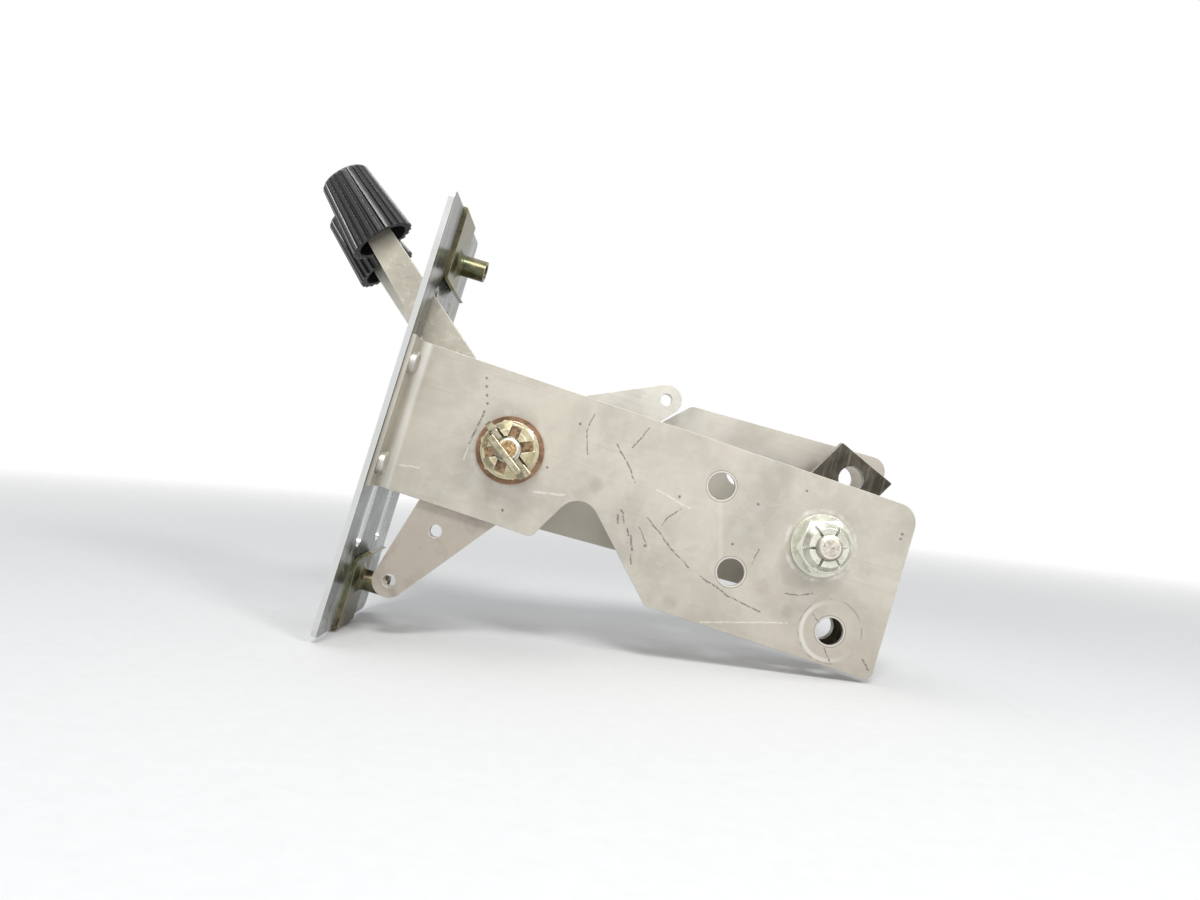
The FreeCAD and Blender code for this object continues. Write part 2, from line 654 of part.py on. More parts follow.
def make_lever(name, way, rise):
    """Flat bellcrank: hub, tapered handle along -X and tapered arm with two wire holes."""
    body = new_body(name)
    hub, tip = s.lever_hub / 2, s.arm_end_radius
    root_half, tip_half = s.lever_root_width / 2, s.lever_tip_width / 2
    sketch = new_sketch(body, "XZ_Plane")
    circle(sketch, ZERO, ZERO, hub)
    pad(body, sketch, s.lever_sheet, middle=True)
    sketch = new_sketch(body, "XZ_Plane")
    outline(sketch, [(ZERO, -root_half), (ZERO, root_half), (-s.lever_reach, tip_half),
                     (-s.lever_reach, -tip_half)])
    pad(body, sketch, s.lever_sheet, middle=True)

    arm = HALF + s.arm_angle
    lean = arc_cos((hub - tip) / s.arm_reach)
    end_x, end_z = s.arm_reach * cos_of(arm), s.arm_reach * sin_of(arm) * way
    corners = []
    for turn in (arm - lean, arm + lean):
        corners.append((hub * cos_of(turn), hub * sin_of(turn) * way))
    for turn in (arm + lean, arm - lean):
        corners.append((end_x + tip * cos_of(turn), end_z + tip * sin_of(turn) * way))
    sketch = new_sketch(body, "XZ_Plane")
    outline(sketch, corners)
    pad(body, sketch, s.lever_sheet, middle=True)
    sketch = new_sketch(body, "XZ_Plane")
    circle(sketch, end_x, end_z, tip)
    pad(body, sketch, s.lever_sheet, middle=True)
    sketch = new_sketch(body, "XZ_Plane")
    circle(sketch, ZERO, ZERO, bolt_hole)
    circle(sketch, end_x, end_z, s.wire_hole / 2)
    circle(sketch, s.arm_inner_reach * cos_of(arm), s.arm_inner_reach * sin_of(arm) * way,
           s.wire_hole / 2)
    cut_through(body, sketch)
    place(body, s.pivot_setback, lever_side * -way, ZERO, (0, 1, 0), rise)


def flute_section(radius, half):
    """Straight-sided groove, narrower at its floor than at the knob's surface."""
    floor, mouth = radius - half, radius + half
    return [(floor, half * -0.4), (mouth, half * -1.5), (mouth, half * 1.5), (floor, half * 0.4)]


def make_knob(name, way, rise):
    """Tapered fluted knob, hollow at its open end, slotted for the handle's tip."""
    body = new_body(name)
    low, high = s.knob_seat, s.knob_seat + s.knob_length
    base, top = s.knob_base_diameter / 2, s.knob_top_diameter / 2
    floor = low + s.knob_recess
    revolve(body, [(ZERO, floor), (base - s.knob_wall, floor), (base - s.knob_wall, low), (base, low),
                   (top, high - s.knob_edge), (top - s.knob_edge, high), (ZERO, high)])
    flute = s.knob_flute_width / 2
    first = new_sketch(body, "XY_Plane", low - s.knob_edge)
    outline(first, flute_section(base, flute))
    last = new_sketch(body, "XY_Plane", high + s.knob_edge)
    outline(last, flute_section(top, flute * 0.75))
    groove = body.newObject("PartDesign::SubtractiveLoft", "Flute")
    groove.Profile = first
    groove.Sections = [last]
    doc.recompute()
    repeat_round(body, groove, "Flutes", s.knob_flutes)
    taper = (s.lever_root_width - s.lever_tip_width) / s.lever_reach
    half_width = (s.lever_root_width - taper * floor) / 2 + s.running_play * 1.5
    half_sheet = s.lever_sheet / 2 + s.running_play
    sketch = new_sketch(body, "XY_Plane", floor)
    rectangle(sketch, -half_width, half_width, -half_sheet, half_sheet)
    cut_depth(body, sketch, s.lever_reach + 0.1 - floor, backwards=True)
    place(body, s.pivot_setback, lever_side * -way, ZERO, (0, 1, 0), rise - 90)


def make_clamp_plate(name, way):
    """Slanted steel strip that swivels on the rear bolt, its far hole over a bracket's end hole."""
    body = new_body(name)
    low = -s.clamp_bolt_margin
    high = s.clamp_length - s.clamp_bolt_margin
    half = s.clamp_width / 2
    corners = []
    for end, sides in ((low, (-half, half)), (high, (half, -half))):
        shift = (end - s.cable_hole_pitch) * tan_of(s.clamp_lean_angle) * way
        corners.extend((end, side + shift) for side in sides)
    sketch = new_sketch(body, "XZ_Plane")
    outline(sketch, corners)
    pad(body, sketch, s.clamp_sheet, middle=True)
    round_along(body, 1, corners, s.clamp_corner)
    sketch = new_sketch(body, "XZ_Plane")
    circle(sketch, ZERO, ZERO, bolt_hole)
    circle(sketch, s.cable_hole_pitch, ZERO, s.cable_hole / 2)
    cut_through(body, sketch)
    side = (s.clamp_spacing + s.clamp_sheet) / 2 * -way
    place(body, rear_x, side, ZERO, (0, 1, 0), s.cable_hole_angle * way)


make_front_plate()
make_bracket("bracket_right", s.bracket_rear_margin, s.bracket_low_corner, False)
make_bracket("bracket_left", s.left_bracket_rear_margin, s.left_bracket_rear_corner, True)
make_flange_rivets()
make_clip_nut("clip_nut_upper", False)
make_clip_nut("clip_nut_lower", True)

for name, way, rise in (("right", 1, s.right_lever_angle), ("left", -1, s.left_lever_angle)):
    make_lever(f"lever_{name}", way, rise)
    make_knob(f"knob_{name}", way, rise)
    washer_at = web_inner if way < 0 else -web_inner + s.friction_washer_sheet
    make_ring(f"outer_friction_washer_{name}", s.friction_washer_diameter, bolt_hole,
              s.friction_washer_sheet, s.pivot_setback, washer_at)
    lever_inner = lever_side - s.lever_sheet / 2 - s.running_play
    washer_at = lever_inner if way < 0 else -lever_inner + s.friction_washer_sheet
    make_ring(f"inner_friction_washer_{name}", s.friction_washer_diameter, bolt_hole,
              s.friction_washer_sheet, s.pivot_setback, washer_at)

spacer_half = lever_side - s.lever_sheet / 2 - s.running_play - s.friction_washer_sheet
make_ring("pivot_spacer", s.spacer_diameter, bolt_hole, spacer_half * 2, s.pivot_setback, spacer_half)

head_seat = web_outer + s.washer_sheet
pivot_nut_seat = -web_outer - s.nut_washer_sheet
pivot_length = head_seat - pivot_nut_seat + s.castle_height + s.pivot_bolt_end
pin_level = head_seat - pivot_nut_seat + s.castle_height - s.castle_slot_depth / 2 - s.cotter_leg / 8
make_ring("pivot_head_washer", s.washer_diameter, bolt_hole, s.washer_sheet, s.pivot_setback, head_seat)
make_ring("pivot_nut_washer", s.nut_washer_diameter, bolt_hole, s.nut_washer_sheet, s.pivot_setback,
          -web_outer)
make_bolt("pivot_bolt", pivot_length, s.pivot_setback, head_seat, pin_level)
make_castle_nut(pivot_nut_seat)
make_cotter_pin(pivot_nut_seat, s.castle_height + s.pivot_bolt_end)

rear_nut_seat = -web_outer - s.washer_sheet
rear_length = head_seat - rear_nut_seat + s.lock_nut_height + s.rear_bolt_end
make_ring("rear_head_washer", s.washer_diameter, bolt_hole, s.washer_sheet, rear_x, head_seat)
make_ring("rear_nut_washer", s.washer_diameter, bolt_hole, s.washer_sheet, rear_x, -web_outer)
make_bolt("rear_bolt", rear_length, rear_x, head_seat)
make_lock_nut(rear_nut_seat)

for name, way in (("right", 1), ("left", -1)):
    make_clamp_plate(f"cable_clamp_{name}", way)
clamp_inner = s.clamp_spacing / 2
clamp_outer = clamp_inner + s.clamp_sheet
sleeve_length = web_inner - clamp_outer - s.running_play
make_ring("rear_sleeve_left", s.sleeve_diameter, bolt_hole, sleeve_length, rear_x, web_inner)
make_ring("rear_sleeve_right", s.sleeve_diameter, bolt_hole, sleeve_length, rear_x,
          -clamp_outer - s.running_play)
make_ring("rear_center_sleeve", s.sleeve_diameter, bolt_hole, s.clamp_spacing - s.running_play * 2,
          rear_x, clamp_inner - s.running_play)

doc.recompute()
for item in doc.Objects:
    for state in item.State:
        if state in ("Invalid", "Error"):
            raise RuntimeError(f"{item.Label} did not build: {item.State}")
for part in parts:
    if part.Shape.isNull() or not part.Shape.isValid() or not part.Shape.Solids:
        raise RuntimeError(f"{part.Label} has no valid solid")

os.makedirs("parts", exist_ok=True)
for part in parts:
    part.Shape.exportStep(os.path.join("parts", part.Label + ".step"))
    print(part.Label, len(part.Shape.Solids), round(part.Shape.Volume, 2))
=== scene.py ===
"""Looks of the alternate air control: its surfaces, wear and threads, and the picture's camera and light.

Row frame in metres: origin on the front plate's front face, +X rearwards, +Y from the right bracket to
the left one, +Z up along the plate. Every surface is a procedural material in object coordinates, which
are taken in millimetres, as are the sizes below. The floor's gap and half size and the lamps are in
metres.
"""
import json
import math

import bpy
from mathutils import Matrix, Vector

MM = 0.001
PIVOT = (23.1, 0.0)
REAR = (83.4, 0.0)
MIDDLE_HOLES = ((62.5, 5.15), (68.7, -9.6))
ANCHOR_HOLE = (89.6, -14.75)
HOLE_RADIUS = 2.55
WEB_FACE = 11.11
BARREL_LEVEL = 32.2
KNOB_SEAT = 46.2
KNOB_LENGTH = 13.9
KNOB_RADII = (6.15, 4.65)
LEVER_LEVEL = 8.28
RIGHT_ANGLE = 41.5
LEFT_ANGLE = 37.8
PIVOT_TIP = 18.51
REAR_TIP = 17.87
THREAD_START = 11.3
BOLT_PITCH = 0.9
SLOT_FLOOR = 15.61
CLIP_BORE = 1.50
CLIP_PITCH = 0.7
WHOLE_TURNS = 40.0
EDGE_NONE = 0.985
EDGE_FULL = 0.9

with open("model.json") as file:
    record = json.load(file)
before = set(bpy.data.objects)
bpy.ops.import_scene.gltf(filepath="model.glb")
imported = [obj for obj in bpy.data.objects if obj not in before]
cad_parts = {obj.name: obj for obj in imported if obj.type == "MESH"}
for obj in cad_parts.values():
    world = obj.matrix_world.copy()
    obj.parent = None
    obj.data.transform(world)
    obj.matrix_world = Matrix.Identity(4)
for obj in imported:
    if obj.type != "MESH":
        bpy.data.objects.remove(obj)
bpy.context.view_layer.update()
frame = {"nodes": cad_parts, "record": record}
nodes = frame["nodes"]


def shade(color, factor):
    """A lighter or darker tone of the same colour."""
    return tuple(min(1.0, part * factor) for part in color)


class Tree:
    """A material under construction: adds nodes and links them in one call."""

    def __init__(self, name, round_edge=0.12):
        self.material = bpy.data.materials.new(name)
        self.material.use_nodes = True
        self.tree = self.material.node_tree
        self.tree.nodes.clear()
        output = self.tree.nodes.new("ShaderNodeOutputMaterial")
        self.shader = self.tree.nodes.new("ShaderNodeBsdfPrincipled")
        self.tree.links.new(self.shader.outputs["BSDF"], output.inputs["Surface"])
        self.coordinates = self.tree.nodes.new("ShaderNodeTexCoord")
        self.place = self.coordinates.outputs["Object"]
        self.mm = self.scaled(1, 1, 1)
        self.soft = self.bevel(round_edge) if round_edge else None

    def add(self, kind, settings=(), output=0, **inputs):
        node = self.tree.nodes.new("ShaderNode" + kind)
        for key, value in dict(settings).items():
            setattr(node, key, value)
        for key, value in inputs.items():
            slot = node.inputs[int(key[1:])] if key[0] == "i" and key[1:].isdigit() else node.inputs[key]
            self.put(slot, value)
        return node.outputs[output]

    def put(self, slot, value):
        if isinstance(value, bpy.types.NodeSocket):
            self.tree.links.new(value, slot)
        else:
            slot.default_value = value

    def math(self, operation, a, b=0.0, clamp=False):
        return self.add("Math", {"operation": operation, "use_clamp": clamp}, i0=a, i1=b)

    def times(self, *factors):
        total = factors[0]
        for factor in factors[1:]:
            total = self.math("MULTIPLY", total, factor)
        return total

    def joined(self, total, mark):
        """The stronger of two marks; added one by one, which keeps the shader's memory small."""
        return mark if total is None else self.math("MAXIMUM", total, mark)

    def sum(self, *values):
        total = values[0]
        for value in values[1:]:
            total = self.math("ADD", total, value)
        return total

    def vector(self, operation, a, b=(0, 0, 0), output=0, **inputs):
        return self.add("VectorMath", {"operation": operation}, output, i0=a, i1=b, **inputs)

    def scaled(self, x, y, z, turn=(0, 0, 0)):
        """Object coordinates in millimetres, turned and then scaled."""
        return self.add("Mapping", Vector=self.place, Rotation=turn, Scale=(x / MM, y / MM, z / MM))

    def part(self, vector, axis):
        return self.add("SeparateXYZ", output=axis, Vector=vector)

    def noise(self, place, scale=1.0, detail=3.0, rough=0.5, distortion=0.0):
        return self.add("TexNoise", Vector=place, Scale=scale, Detail=detail, Roughness=rough,
                        Distortion=distortion)

    def ramp(self, value, low, high, to_low=0.0, to_high=1.0):
        """Straight line between two levels, held flat outside them."""
        return self.add("MapRange", Value=value, **{"From Min": low, "From Max": high,
                                                     "To Min": to_low, "To Max": to_high})

    def band(self, value, low, high, soft):
        """1 between two levels, falling to 0 within the soft margin outside them."""
        return self.times(self.ramp(value, low - soft, low), self.ramp(value, high, high + soft, 1, 0))

    def around(self, centre):
        """Distance from the line along Y through a point (x, z)."""
        flat = self.vector("MULTIPLY", self.mm, (1, 0, 1))
        return self.vector("DISTANCE", flat, (centre[0], 0, centre[1]), output=1)

    def stroke(self, flat, points, width):
        """1 on a line drawn through (x, z) points, 0 beyond its width."""
        total = None
        for start, end in zip(points, points[1:]):
            run = Vector((end[0] - start[0], 0, end[1] - start[1]))
            off = self.vector("SUBTRACT", flat, (start[0], 0, start[1]))
            along = self.vector("DOT_PRODUCT", off, tuple(run / run.length_squared), output=1)
            along = self.math("ADD", along, 0.0, clamp=True)
            foot = self.vector("SCALE", tuple(run), Scale=along)
            apart = self.vector("DISTANCE", off, foot, output=1)
            total = self.joined(total, self.ramp(apart, width * 0.35, width, 1, 0))
        return total

    def dots(self, flat, points, radius):
        """1 at (x, z) points, 0 beyond the radius."""
        total = None
        for x, z in points:
            apart = self.vector("DISTANCE", flat, (x, 0, z), output=1)
            total = self.joined(total, self.ramp(apart, radius * 0.4, radius, 1, 0))
        return total

    def mix(self, factor, a, b):
        node = self.tree.nodes.new("ShaderNodeMix")
        node.data_type = "RGBA"
        ends = [socket for socket in node.inputs if socket.type == "RGBA"]
        for slot, value in ((node.inputs[0], factor), (ends[0], a), (ends[1], b)):
            if not isinstance(value, (bpy.types.NodeSocket, float, int)):
                value = (*value, 1.0)
            self.put(slot, value)
        return [socket for socket in node.outputs if socket.type == "RGBA"][0]

    def bevel(self, radius):
        return self.add("Bevel", {"samples": 6}, Radius=radius * MM)

    def edges(self, radius):
        """1 along outer and inner corners, 0 on open faces."""
        true = self.add("NewGeometry", output=1)
        kept = self.vector("DOT_PRODUCT", self.bevel(radius), true, output=1)
        return self.ramp(kept, EDGE_NONE, EDGE_FULL)

    def facing(self, axis):
        """How squarely the surface faces along an axis, either way, from 0 to 1."""
        return self.math("ABSOLUTE", self.part(self.coordinates.outputs["Normal"], axis))

    def thread(self, along, across, up, pitch):
        """Height of a screw thread round an axis, given the three distances from its middle."""
        turn = self.math("DIVIDE", self.math("ARCTAN2", up, across), 2 * math.pi)
        phase = self.math("FRACT", self.sum(self.math("DIVIDE", along, pitch), turn, WHOLE_TURNS))
        return self.math("ABSOLUTE", self.math("SUBTRACT", phase, 0.5))

    def bump(self, height, distance, strength=1.0):
        inputs = {"Height": height, "Distance": distance * MM, "Strength": strength}
        if self.soft:
            inputs["Normal"] = self.soft
        self.soft = self.add("Bump", **inputs)
        self.put(self.shader.inputs["Normal"], self.soft)

    def finish(self, **inputs):
        for key, value in inputs.items():
            slot = self.shader.inputs[key.replace("_", " ")]
            if isinstance(value, tuple) and len(value) == 3:
                value = (*value, 1.0)
            self.put(slot, value)
        return self.material


SCORES = {
    "beside the pivot": (((16.5, 5.5), (16.0, 2.0), (15.5, -1.0)), 0.28),
    "arc over the notch": (((36.0, 11.0), (35.5, 7.5), (37.0, 3.5)), 0.16),
    "short fall": (((46.5, 11.5), (44.5, 7.0)), 0.18),
    "long fall": (((41.5, 7.0), (43.5, 5.0), (45.0, 3.5), (47.0, 1.0)), 0.2),
    "tick 1": (((45.5, -5.5), (46.0, -7.0)), 0.26),
    "tick 2": (((46.0, -4.5), (46.5, -5.0)), 0.24),
    "tick 3": (((46.5, -5.5), (47.0, -6.5)), 0.24),
    "tick 4": (((48.0, -7.5), (48.5, -8.5)), 0.26),
    "tick 5": (((49.0, -8.5), (50.0, -11.0)), 0.26),
    "tick 6": (((50.0, -12.0), (50.5, -13.5)), 0.2),
    "pair": (((50.0, -6.5), (52.5, -9.5)), 0.14),
    "pair, upper": (((51.0, -4.5), (52.5, -5.5)), 0.14),
    "long arc": (((51.0, -4.5), (54.0, -6.5), (56.5, -8.5), (61.0, -11.0)), 0.2),
    "behind the notch": (((56.5, -1.0), (54.5, -3.5), (54.0, -5.0)), 0.16),
    "between the holes": (((72.5, -4.0), (72.0, -7.0)), 0.16),
    "under the lower hole": (((63.5, -12.0), (67.0, -13.0), (69.5, -14.0), (76.0, -15.0)), 0.2),
    "under the rear nut": (((79.5, -10.5), (82.0, -10.0), (84.5, -9.0)), 0.16),
    "to the anchor hole": (((85.5, -12.5), (87.5, -14.0)), 0.2),
    "from the anchor hole": (((89.5, -18.0), (91.0, -20.0)), 0.2),
    "rear corner": (((97.0, -18.0), (98.5, -19.5)), 0.26),
}
STREAKS = {
    "over the notch": (((29.5, -6.0), (35.0, -5.0)), 0.3),
    "under the score": (((15.5, -1.0), (15.5, -4.0)), 0.25),
    "beside the flange": (((4.5, -8.5), (8.0, -8.0)), 0.25),
    "above the low edge": (((66.0, -20.0), (81.5, -15.5)), 0.18),
    "towards the nut": (((51.0, 1.0), (58.0, -0.5)), 0.2),
}
PITS = ((15.0, 11.5), (15.5, 10.0), (16.0, 8.5), (16.5, 7.0), (30.5, -1.0), (25.0, -11.0), (55.5, 1.0),
        (70.0, 4.0), (67.5, -4.5), (52.0, -9.5), (97.5, 6.5), (97.5, 5.5), (34.0, 8.5), (78.0, 9.0))
SMUDGES = ((92.5, -2.0), (81.0, -13.5), (59.5, -18.0), (75.0, -10.5), (40.0, -1.5))


def bracket(name, side, marked):
    """Worn aluminium sheet: rolling grain, blotches, rubbed rings round the holes, scores on one side.

    Painted shade darkens the lower rear, the web by the flange, the inner face low down and the lower
    edges; painted highlights brighten the bend, the top edge and the lit side of the anchor ring.
    """
    warm = (0.555, 0.520, 0.442) if marked else (0.620, 0.590, 0.515)
    t = Tree(name, 0.10)
    x, y, z = (t.part(t.mm, axis) for axis in range(3))
    outer = t.ramp(t.math("ABSOLUTE", t.math("SUBTRACT", y, side * WEB_FACE)), 0.05, 0.15, 1, 0)
    cloud = t.noise(t.mm, 0.055, 4, 0.55, 0.9)
    mottle = t.noise(t.mm, 0.35, 4, 0.6, 0.4)
    grain = t.noise(t.scaled(0.035, 1, 1.1), 1.9, 3, 0.65)
    hairs = t.noise(t.scaled(0.03, 1, 2.2, (0, 0.9, 0)), 1.2, 2, 0.6)
    fine = t.noise(t.mm, 3.2, 3, 0.6)
    tone = t.mix(t.ramp(cloud, 0.38, 0.62), shade(warm, 0.86), shade(warm, 1.07))
    tone = t.mix(t.ramp(mottle, 0.46, 0.62, 0.0, 0.30), tone, (0.64, 0.62, 0.56))
    pink = t.noise(t.mm, 0.16, 3, 0.6, 1.0)
    tone = t.mix(t.ramp(pink, 0.52, 0.70, 0.0, 0.34), tone, (0.50, 0.43, 0.38))
    # Painted shade: darker and pinker towards the rear, low on the right bracket and high on the left.
    rear_shade = t.times(t.ramp(x, 55, 100), t.ramp(t.times(z, side), 2, 18))
    tone = t.mix(t.times(rear_shade, 0.55), tone, (0.42, 0.365, 0.31))
    # Painted shade: the web darkens towards the flange, in the corner by the plate.
    tone = t.mix(t.times(t.ramp(x, 14, 3), 0.45), tone, (0.49, 0.46, 0.385))
    tone = t.mix(t.ramp(grain, 0.52, 0.74, 0, 0.16), tone, shade(warm, 1.22))
    tone = t.mix(t.ramp(grain, 0.44, 0.28, 0, 0.12), tone, shade(warm, 0.72))
    tone = t.mix(t.ramp(hairs, 0.64, 0.74, 0, 0.30), tone, shade(warm, 0.70))
    tone = t.mix(t.ramp(fine, 0.66, 0.76, 0, 0.45), tone, shade(warm, 0.60))
    rubbed = t.around(REAR)
    rings = t.times(t.band(rubbed, 6.4, 6.7, 0.35), t.ramp(mottle, 0.40, 0.60))
    washed = t.times(t.band(t.around(PIVOT), 6.5, 7.2, 0.4), t.ramp(mottle, 0.48, 0.66), 0.3)
    bright, dark = t.joined(rings, washed), None
    for hole_x, hole_z in (*MIDDLE_HOLES, ANCHOR_HOLE):
        reach = t.around((hole_x, hole_z * -side))
        bright = t.joined(bright, t.band(reach, HOLE_RADIUS, HOLE_RADIUS + 0.18, 0.12))
        dark = t.joined(dark, t.times(t.band(reach, HOLE_RADIUS + 0.34, HOLE_RADIUS + 0.42, 0.10), 0.45))
    anchor = t.around((ANCHOR_HOLE[0], ANCHOR_HOLE[1] * -side))
    # Painted highlight: the rubbed ring round the anchor hole is bright only on its lit side.
    lit = t.ramp(t.sum(x, t.times(z, 0.6 * -side)), 84, 76)
    bright = t.joined(bright, t.times(t.band(anchor, 5.2, 5.6, 0.35), lit))
    dark = t.joined(dark, t.times(t.band(anchor, 5.9, 6.0, 0.20), t.ramp(mottle, 0.45, 0.55), 0.4))
    if marked:
        flat = t.vector("MULTIPLY", t.mm, (1, 0, 1))
        bent = t.add("TexNoise", output=1, Vector=t.mm, Scale=0.8, Detail=2.0)
        wavy = t.vector("MULTIPLY", bent, (0.5, 0, 0.5))
        wavy = t.vector("ADD", flat, t.vector("SUBTRACT", wavy, (0.25, 0, 0.25)))
        broken = t.ramp(t.noise(t.mm, 1.6, 2, 0.6), 0.38, 0.52, 0.25, 1.0)
        for points, width in SCORES.values():
            dark = t.joined(dark, t.times(t.stroke(wavy, points, width), broken, 0.80))
        dark = t.joined(dark, t.times(t.dots(wavy, PITS, 0.36), 0.8))
        soft = t.times(t.dots(wavy, SMUDGES, 1.9), t.ramp(mottle, 0.38, 0.60), 0.34)
        tone = t.mix(t.times(outer, soft), tone, (0.26, 0.21, 0.17))
        for points, width in STREAKS.values():
            bright = t.joined(bright, t.times(t.stroke(wavy, points, width), broken))
        drawn = t.times(t.band(t.sum(x, t.times(z, 0.31)), 63.6, 64.0, 0.5), t.band(z, -8, 3, 2), 0.3)
        bright = t.joined(bright, drawn)
    # Bright marks: scuffs, streaks and rubbed rings, with the painted highlight on the anchor ring's lit
    # side.
    score, scuff_and_highlight = t.times(outer, dark), t.times(outer, bright)
    tone = t.mix(t.times(scuff_and_highlight, 0.50), tone, (0.84, 0.83, 0.78))
    tone = t.mix(score, tone, (0.13, 0.11, 0.095))
    # Painted highlight: a bright band along the bend to the flange.
    bend_highlight = t.times(t.band(x, 2.5, 3.4, 0.6), t.ramp(t.math("ABSOLUTE", y), 13.6, 11.2))
    tone = t.mix(t.times(bend_highlight, 0.5), tone, (0.80, 0.79, 0.74))
    on_web = t.ramp(x, 4.2, 4.6)
    # Painted highlight: the web's upward faces along its top are made bright.
    top = t.times(t.ramp(t.facing(2), 0.80, 0.95), t.ramp(z, 6, 9), on_web)
    # Painted shade: the web's cut faces below its top are made dark.
    cut = t.times(t.ramp(t.facing(1), 0.5, 0.2), t.ramp(z, 9, 6), on_web)
    tone = t.mix(t.times(top, 0.75), tone, (0.92, 0.92, 0.88))
    tone = t.mix(t.times(cut, 0.45), tone, (0.32, 0.29, 0.25))
    # Bright worn edges all round; painted shade darkens the web's edges below its top, short of the rear
    # end.
    rim = t.edges(0.22)
    low = t.times(t.ramp(z, 8, 7), t.ramp(x, 97, 95), on_web)
    tone = t.mix(t.times(rim, 0.40), tone, (0.90, 0.89, 0.84))
    tone = t.mix(t.times(rim, low, 0.60), tone, (0.17, 0.15, 0.125))
    shaded = t.times(t.ramp(z, 2, -9), t.ramp(x, 70, 50), t.math("SUBTRACT", 1.0, outer))
    tone = t.mix(t.times(shaded, 0.40), tone, (0.26, 0.25, 0.21))
    rough = t.sum(t.ramp(cloud, 0.3, 0.7, 0.32, 0.44), t.ramp(fine, 0.3, 0.7, -0.04, 0.05),
                  t.times(score, 0.2))
    t.bump(t.sum(t.times(grain, 0.5), t.times(fine, 0.35)), 0.03, 0.55)
    return t.finish(Base_Color=tone, Metallic=0.55, Roughness=rough)


def polished_plate(name):
    """Plated sheet: bright and clean in front, with bright cut edges; behind, a painted reflection makes
    it dark, cloudy and streaked, lighter low down.
    """
    t = Tree(name, 0.10)
    x, z = t.part(t.mm, 0), t.part(t.mm, 2)
    cloud = t.noise(t.mm, 0.12, 4, 0.6, 0.8)
    streak = t.noise(t.scaled(1, 0.30, 0.05), 1.1, 4, 0.6, 0.4)
    fine = t.noise(t.mm, 2.4, 3, 0.6)
    line = t.noise(t.scaled(1, 2.4, 0.04), 1.6, 2, 0.6)
    front = t.mix(t.ramp(cloud, 0.35, 0.65), (0.50, 0.51, 0.51), (0.60, 0.61, 0.60))
    # Painted reflection: the back face is dark, cloudy and streaked, with bright streaks and lighter low
    # down.
    behind = t.mix(t.ramp(streak, 0.36, 0.60), (0.10, 0.105, 0.10), (0.23, 0.235, 0.22))
    behind = t.mix(t.ramp(streak, 0.62, 0.72, 0, 0.7), behind, (0.56, 0.58, 0.58))
    behind = t.mix(t.times(t.ramp(z, -8, -26), t.ramp(cloud, 0.40, 0.56), 0.7), behind, (0.58, 0.60, 0.58))
    tone = t.mix(t.ramp(x, 0.4, 0.9), front, behind)
    tone = t.mix(t.ramp(line, 0.62, 0.74, 0, 0.25), tone, (0.80, 0.81, 0.80))
    tone = t.mix(t.ramp(fine, 0.64, 0.74, 0, 0.5), tone, (0.09, 0.085, 0.075))
    tone = t.mix(t.ramp(t.facing(0), 0.7, 0.4), tone, (0.66, 0.67, 0.66))
    tone = t.mix(t.times(t.edges(0.25), 0.6), tone, (0.90, 0.90, 0.89))
    t.bump(t.sum(t.times(fine, 0.3), t.times(line, 0.4)), 0.02, 0.4)
    return t.finish(Base_Color=tone, Metallic=0.95, Roughness=t.ramp(cloud, 0.3, 0.7, 0.20, 0.32))


def metal(name, light, dark, edge, rough, cloud_scale=0.5, lathe=None, edge_radius=0.2, wear=0.6,
          dirt=(0.10, 0.08, 0.06), dirty=0.25):
    """Small turned or pressed part: cloudy plating, pits, worn edges and tool rings where it is turned."""
    t = Tree(name, edge_radius * 0.6)
    cloud = t.noise(t.mm, cloud_scale, 4, 0.6, 0.5)
    fine = t.noise(t.mm, 4.0, 3, 0.6)
    tone = t.mix(t.ramp(cloud, 0.36, 0.64), dark, light)
    tone = t.mix(t.ramp(fine, 0.58, 0.72, 0, dirty), tone, dirt)
    heights = [t.times(fine, 0.4), t.times(cloud, 0.3)]
    if lathe:
        rings = t.noise(t.add("CombineXYZ", X=t.around(lathe), Y=t.part(t.mm, 1), Z=0.0), 6.0, 2, 0.6)
        tone = t.mix(t.ramp(rings, 0.52, 0.70, 0, 0.35), tone, edge)
        tone = t.mix(t.ramp(rings, 0.46, 0.32, 0, 0.30), tone, shade(dark, 0.6))
        heights.append(t.times(rings, 0.5))
    tone = t.mix(t.times(t.edges(edge_radius), wear), tone, edge)
    t.bump(t.sum(*heights), 0.04, 0.5)
    return t, tone, t.ramp(cloud, 0.3, 0.7, rough - 0.06, rough + 0.08)


def turned(name, light, dark, edge, rough, metallic=0.9, **extra):
    """The small part's finish with nothing added."""
    t, tone, roughness = metal(name, light, dark, edge, rough, **extra)
    return t.finish(Base_Color=tone, Metallic=metallic, Roughness=roughness)


